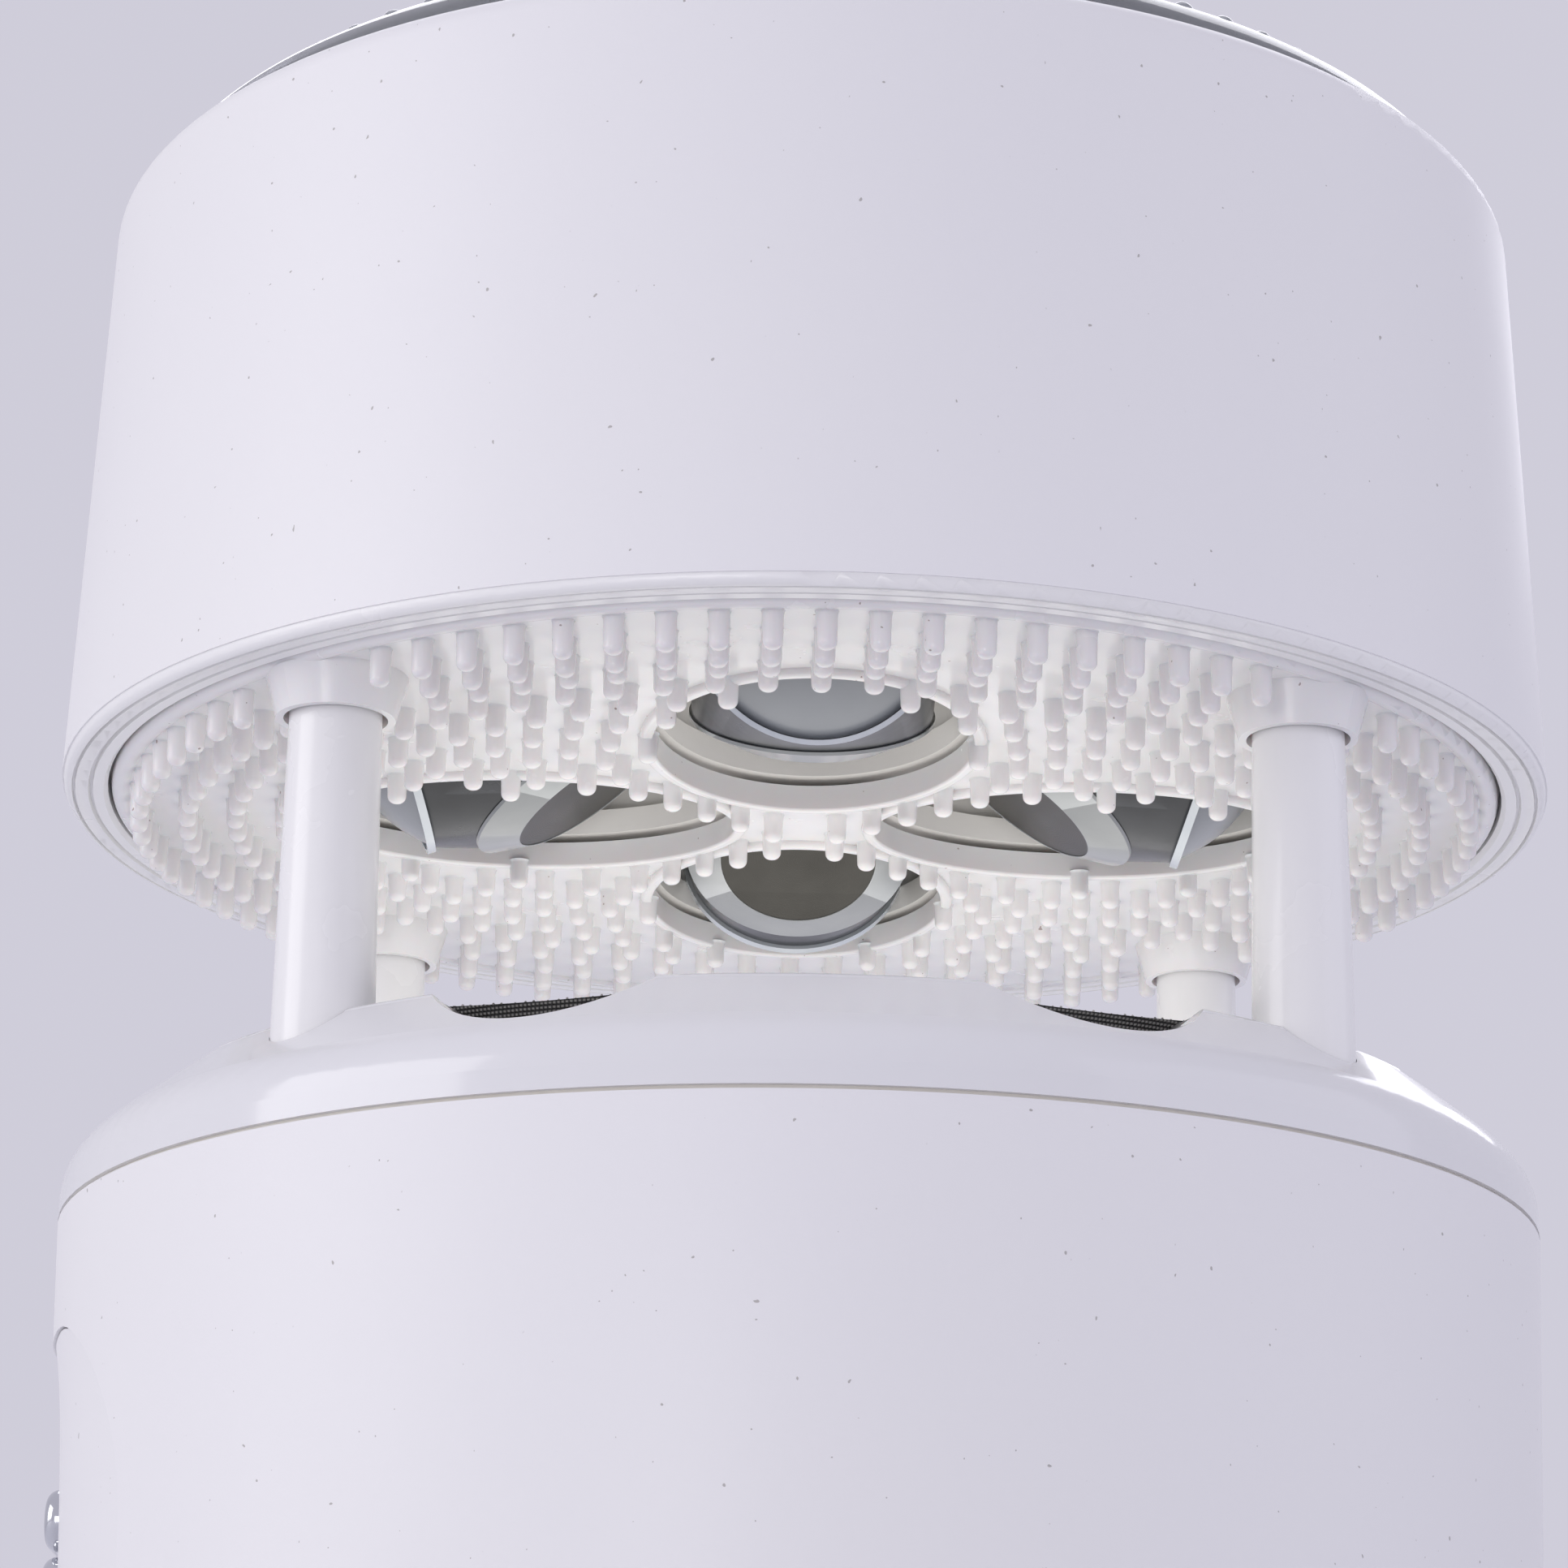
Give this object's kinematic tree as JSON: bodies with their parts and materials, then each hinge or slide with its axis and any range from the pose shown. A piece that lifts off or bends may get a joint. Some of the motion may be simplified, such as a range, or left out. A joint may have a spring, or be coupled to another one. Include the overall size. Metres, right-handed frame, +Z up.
{
  "type": "brush cleaner",
  "caption": "Table-top brush cleaner: a round head with a nubbed silicone scrubbing mat and lamp windows stands on posts above a warm-air base with handle notches and a mesh-lined bowl",
  "frame": {"origin": "on the floor under the middle of the base, at the bottom of the feet", "axes": "+Z up along the axis of the round base and head; front faces -Y; the control panel faces -X; the charging socket faces +Y"},
  "size_m": [0.1066, 0.1066, 0.1522],
  "materials": {
    "housing": "silky white satin plastic",
    "glossy_rim": "glossy white plastic",
    "panel": "glossy white plastic panel",
    "dark_plastic": "dark grey plastic",
    "feet": "soft rubber",
    "steel": "steel",
    "seal": "thin tan seal",
    "mesh": "fine woven wire mesh, dark",
    "keys": "chromed keys",
    "board": "circuit board",
    "cells": "shrink-wrapped cells",
    "heater": "heating ribbons and frame",
    "posts": "white posts, semi-gloss",
    "silicone": "glossy warm-white silicone",
    "cream_plastic": "cream plastic",
    "pod_dark": "near-black plastic",
    "pod_trim": "thin light metal edge",
    "pod_lens": "blue-grey frosted lens",
    "pod_pale": "pale glassy ring",
    "pod_disc": "dark grey spun disc",
    "lid": "glossy white lid",
    "clear_ring": "clear ring with clear beads"
  },
  "bodies": {
    "base": {"base_shell": "housing", "bottom_cover": "dark_plastic", "bottom_feet": "feet", "cover_screws": "steel", "rim_cover": "glossy_rim", "seam_seal": "seal", "rim_liner": "dark_plastic", "mesh_screen": "mesh", "control_panel": "panel", "switch_board": "board", "battery_cells": "cells", "battery_tray": "dark_plastic", "main_board": "board", "charge_socket": "steel", "fan_housing": "dark_plastic", "fan_motor": "steel", "heater": "heater", "post_screws": "steel", "post_front_right": "posts", "post_back_right": "posts", "post_back_left": "posts", "post_front_left": "posts"},
    "power_button": {"power_button": "keys"},
    "mode_button": {"mode_button": "keys"},
    "fan": {"fan_rotor": "dark_plastic", "fan_shaft": "steel"},
    "head": {"scrub_mat": "silicone", "lamp_deck": "cream_plastic", "deck_screws": "steel", "lamp_board": "board", "drum_shell": "housing", "retaining_ring": "housing", "head_lid": "lid", "bead_ring": "clear_ring", "pod_body_front": "pod_dark", "pod_rim_front": "pod_trim", "pod_lens_front": "pod_lens", "pod_cone_front": "pod_pale", "pod_disc_front": "pod_disc", "pod_body_right": "pod_dark", "pod_rim_right": "pod_trim", "pod_lens_right": "pod_lens", "pod_cone_right": "pod_pale", "pod_disc_right": "pod_disc", "pod_body_back": "pod_dark", "pod_rim_back": "pod_trim", "pod_lens_back": "pod_lens", "pod_cone_back": "pod_pale", "pod_disc_back": "pod_disc", "pod_body_left": "pod_dark", "pod_rim_left": "pod_trim", "pod_lens_left": "pod_lens", "pod_cone_left": "pod_pale", "pod_disc_left": "pod_disc"}
  },
  "joints": [
    {"name": "head_lift", "type": "slide", "parent": "base", "child": "head", "axis": [0, 0, 1], "range_m": [0, 0.02]},
    {"name": "power_press", "type": "slide", "parent": "base", "child": "power_button", "axis": [1, 0, 0], "range_m": [0, 0.0008], "stiffness_N_per_m": 600},
    {"name": "mode_press", "type": "slide", "parent": "base", "child": "mode_button", "axis": [1, 0, 0], "range_m": [0, 0.0008], "stiffness_N_per_m": 600},
    {"name": "fan_spin", "type": "hinge", "parent": "base", "child": "fan", "pos_m": [0, 0, 0.045], "axis": [0, 0, 1], "continuous": true}
  ]
}
